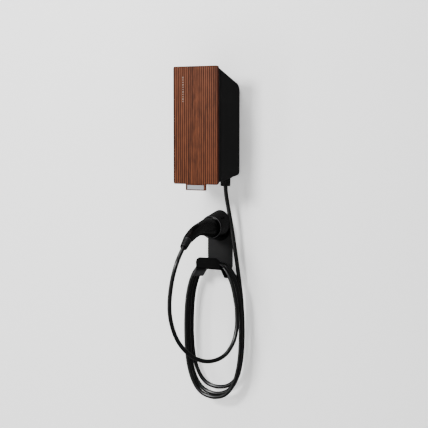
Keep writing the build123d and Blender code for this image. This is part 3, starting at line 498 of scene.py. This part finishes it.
node_finishes = {
    "front_panel": walnut,
    "panel_tab": tab_walnut,
    "tab_dowels": beech,
    "tab_plate": brushed_plate,
    "housing": black_moulding,
    "front_cover": black_moulding,
    "cover_gasket": black_rubber,
    "cover_screws": zinc,
    "panel_studs": white_nylon,
    "gland_body": black_nylon,
    "gland_nut": black_nylon,
    "gland_seal": black_rubber,
    "gland_locknut": black_nylon,
    "din_rail": zinc,
    "rail_screws": zinc,
    "rcd_body": light_grey,
    "rcd_lever": black_gloss,
    "rcd_test_button": yellow_plastic,
    "contactor": light_grey,
    "energy_meter": light_grey,
    "terminal_block": mid_grey,
    "current_sensor": blue_plastic,
    "supply_grommet": black_rubber,
    "main_board": circuit_board,
    "board_screws": zinc,
    "power_module": black_gloss,
    "relay_block": blue_plastic,
    "radio_module": zinc,
    "board_header": mid_grey,
    "reader_antenna": circuit_board,
    "holder_bracket": powder_coat,
    "dock_cup": dock_moulding,
    "dock_screws": zinc,
    "plug_shroud": plug_moulding,
    "plug_insert": black_gloss,
    "plug_contacts": silver_contact,
    "plug_handle": plug_moulding,
    "plug_boot": boot_rubber,
    "cable_lead": cable_jacket,
    "cable_coil": cable_jacket,
    "cable_front_loop": cable_jacket,
}


def dress(piece, material):
    """Gives a piece one material in place of those it has."""
    piece.data.materials.clear()
    piece.data.materials.append(material)


for name, material in node_finishes.items():
    dress(nodes[name], material)
dress(cable, cable_jacket)


def object_from(name, shape):
    """Turns a bmesh into an object at the origin."""
    mesh = bpy.data.meshes.new(name)
    shape.to_mesh(mesh)
    shape.free()
    return add_object(name, mesh)


def finished_mesh(name, shape, material, body="wallbox", smooth=False):
    """Turns a bmesh into a piece, with its material and body."""
    bmesh.ops.recalc_face_normals(shape, faces=shape.faces)
    piece = object_from(name, shape)
    if smooth:
        piece.data.shade_smooth()
    dress(piece, material)
    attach(piece, body)
    return piece


def add_block(shape, centre, size, bevel, segments=2):
    """Block with rounded edges."""
    made = bmesh.ops.create_cube(shape, size=1.0)
    bmesh.ops.scale(shape, vec=size, verts=made["verts"])
    bmesh.ops.translate(shape, vec=centre, verts=made["verts"])
    edges = list({edge for vert in made["verts"] for edge in vert.link_edges})
    bmesh.ops.bevel(
        shape,
        geom=edges,
        offset=bevel,
        segments=segments,
        profile=0.5,
        affect="EDGES",
        material=-1,
    )


# A column of small pale marks on the front panel

PANEL_FRONT = -0.172
MARK_X = -0.0410
MARK_TOP = 0.161
MARK_COUNT = 11
MARK_STEP = 0.0072
MARK_WIDTH = 0.0024
MARK_THICKNESS = 0.0006
MARK_SUNK = 0.0001
SHORT_MARK = 0.0030
LONG_MARK = 0.0046

marks = bmesh.new()
for mark in range(MARK_COUNT):
    centre = (MARK_X, PANEL_FRONT + MARK_SUNK, MARK_TOP - mark * MARK_STEP)
    size = (MARK_WIDTH, MARK_THICKNESS, SHORT_MARK if mark % 3 else LONG_MARK)
    add_block(marks, centre, size, bevel=0.0002)
finished_mesh("panel_marks", marks, pale_inlay)

# Bare plate of the tab, a little smaller than its recess, with bevelled edges

PLATE_MID = (0.0008, -0.1715, -0.1713)
PLATE_SIZE = (0.0555, 0.0010, 0.0128)

bare_plate = bmesh.new()
add_block(bare_plate, PLATE_MID, PLATE_SIZE, bevel=0.0003, segments=3)
plate_piece = finished_mesh("bare_plate", bare_plate, brushed_plate)
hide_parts("tab_plate")

# Handle of the plug: a flange in the dock, then a grip that thins and bends to the boot

DOCK_Z = -0.302
RING_FACES = 48
GRIP_START = 0.064
SHARP_ANGLE = radians(35)

# Distance from the start of the grip, rise, slope in degrees, half width, half height
grip_sections = [
    (0.0005, 0.0, 0, 0.0276, 0.0300),
    (0.0200, 0.0008, 4, 0.0268, 0.0295),
    (0.0470, 0.0030, 2, 0.0228, 0.0270),
    (0.0660, 0.0030, 0, 0.0203, 0.0235),
    (0.0840, 0.0024, -4, 0.0186, 0.0205),
    (0.1030, 0.0005, -9, 0.0178, 0.0192),
    (0.1210, -0.0031, -14, 0.0172, 0.0184),
    (0.1400, -0.0090, -21, 0.0163, 0.0173),
    (0.1560, -0.0152, -28, 0.0153, 0.0160),
    (0.1690, -0.0212, -35, 0.0144, 0.0146),
    (0.1725, -0.0229, -37, 0.0140, 0.0140),
]

# Distance from the wall, radius
flange_sections = [(0.0600, 0.0316), (0.0606, 0.0319), (0.0662, 0.0319), (0.0668, 0.0313)]


def add_ring(shape, depth, height, slope, half_w, half_h):
    """Oval ring of edges across the plug, at a depth from the wall and a height."""
    place = Matrix.Translation((HOLDER_X, -depth, height))
    turn = Matrix.Rotation(radians(90 - slope), 4, "X")
    size = Matrix.Diagonal((half_w, half_h, 1, 1))
    spots = bmesh.ops.create_circle(
        shape, segments=RING_FACES, radius=1, matrix=place @ turn @ size
    )["verts"]
    return list({edge for spot in spots for edge in spot.link_edges})


def add_skin(shape, painted_ring_highlights):
    """Bridges rings in their order and closes the two ends."""
    for near, far in zip(painted_ring_highlights, painted_ring_highlights[1:]):
        bmesh.ops.bridge_loops(shape, edges=near + far)
    for ring in (painted_ring_highlights[0], painted_ring_highlights[-1]):
        bmesh.ops.edgeloop_fill(shape, edges=ring)


grip = bmesh.new()
grip_rings = [
    add_ring(grip, GRIP_START + along, DOCK_Z + rise, slope, half_w, half_h)
    for along, rise, slope, half_w, half_h in grip_sections
]
add_skin(grip, grip_rings)
flange_rings = [add_ring(grip, depth, DOCK_Z, 0, r, r) for depth, r in flange_sections]
add_skin(grip, flange_rings)
grip_piece = finished_mesh("plug_grip", grip, plug_moulding, smooth=True)
grip_piece.data.set_sharp_from_angle(angle=SHARP_ANGLE)
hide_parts("plug_handle")

# Soft lip round the inner edge of the dock's rim, in pale grey as a painted highlight on that
# edge

RIM_DEPTH = 0.0708
RIM_R = 0.0343
LIP_R = 0.0009

rim_lip = bmesh.new()
bmesh.ops.create_circle(
    rim_lip,
    segments=10,
    radius=LIP_R,
    matrix=Matrix.Translation((HOLDER_X + RIM_R, -RIM_DEPTH, DOCK_Z)),
)
bmesh.ops.spin(
    rim_lip,
    geom=rim_lip.verts[:] + rim_lip.edges[:],
    cent=(HOLDER_X, -RIM_DEPTH, DOCK_Z),
    axis=(0, 1, 0),
    angle=2 * pi,
    steps=72,
    use_merge=True,
)
finished_mesh("dock_rim_highlight_lip", rim_lip, rim_highlight_paint, smooth=True)

# Stage: a white wall behind and a pale floor far below, which show only their fronts

LIT_WALL = 0.32
LIT_FLOOR = 0.15
STAGE_HALF = 40
WALL_Y = 0.0005
FLOOR_Z = -1.6


def stage_sheet(name, centre, turn, half, material):
    """Flat square of the stage, turned about X."""
    shape = bmesh.new()
    bmesh.ops.create_grid(shape, x_segments=1, y_segments=1, size=half)
    bmesh.ops.rotate(shape, verts=shape.verts, matrix=Matrix.Rotation(radians(turn), 3, "X"))
    bmesh.ops.translate(shape, verts=shape.verts, vec=centre)
    sheet = object_from(name, shape)
    dress(sheet, material)
    sheet.visible_glossy = False


def make_stage_paint(name, color, glow):
    """Matt paint with a faint glow. From behind it can be seen through."""
    finish = Finish(name, color, 0.9, specular=0.1)
    finish.set("Emission Color", (1, 1, 1, 1))
    finish.set("Emission Strength", glow)
    behind = finish.node("ShaderNodeNewGeometry", {}, {}, "Backfacing")
    clear = finish.node("ShaderNodeBsdfTransparent", {}, {})
    paint = Wire(finish, finish.shader.outputs[0])
    shown = finish.node("ShaderNodeMixShader", {}, {0: behind, 1: paint, 2: clear})
    finish.join(finish.tree.nodes["Material Output"].inputs["Surface"], shown)
    return finish.material


wall_paint = make_stage_paint("wall paint", (0.93, 0.93, 0.93), LIT_WALL)
floor_paint = make_stage_paint("floor paint", (0.86, 0.86, 0.85), LIT_FLOOR)
stage_sheet("wall", (0, WALL_Y, 0), 90, STAGE_HALF, wall_paint)
stage_sheet("floor", (0, -STAGE_HALF, FLOOR_Z), 0, STAGE_HALF, floor_paint)

# Lights: a soft key from the left, one from above, a low strip at the left for the sheen of the
# cable, a broad fill and a weak surround

OBJECT_MIDDLE = Vector((0, 0, -0.3))


def area_light(name, place, width, height, power):
    """Soft light of a width and height at a place, turned to the middle of the object."""
    data = bpy.data.lights.new(name, "AREA")
    data.shape = "RECTANGLE"
    data.size = width
    data.size_y = height
    data.energy = power
    lamp = add_object(name, data)
    lamp.location = place
    aim = OBJECT_MIDDLE - Vector(place)
    lamp.rotation_euler = aim.to_track_quat("-Z", "Y").to_euler()


area_light("key", (-0.85, -3.0, 0.95), 0.75, 0.75, power=124)
area_light("top", (-0.4, -1.1, 2.2), 1.0, 1.0, power=48)
area_light("strip", (-1.7, -2.0, -0.6), 0.35, 2.4, power=18)
area_light("fill", (0.6, -4.2, 0.4), 4.0, 4.0, power=8)

# What is seen past the wall and the floor is pale, but lights no more than the weak surround

SURROUND_LIGHT = 0.15
BACKDROP_GLOW = 0.8

world = bpy.data.worlds.new("surround")
bpy.context.scene.world = world
world.use_nodes = True
world_nodes = world.node_tree.nodes
surround = world_nodes["Background"]
backdrop = world_nodes.new("ShaderNodeBackground")
for sky, strength in ((surround, SURROUND_LIGHT), (backdrop, BACKDROP_GLOW)):
    sky.inputs["Color"].default_value = (1, 1, 1, 1)
    sky.inputs["Strength"].default_value = strength
seen = world_nodes.new("ShaderNodeLightPath")
either = world_nodes.new("ShaderNodeMixShader")
join_world = world.node_tree.links.new
join_world(seen.outputs["Is Camera Ray"], either.inputs[0])
join_world(surround.outputs[0], either.inputs[1])
join_world(backdrop.outputs[0], either.inputs[2])
join_world(either.outputs[0], world_nodes["World Output"].inputs["Surface"])
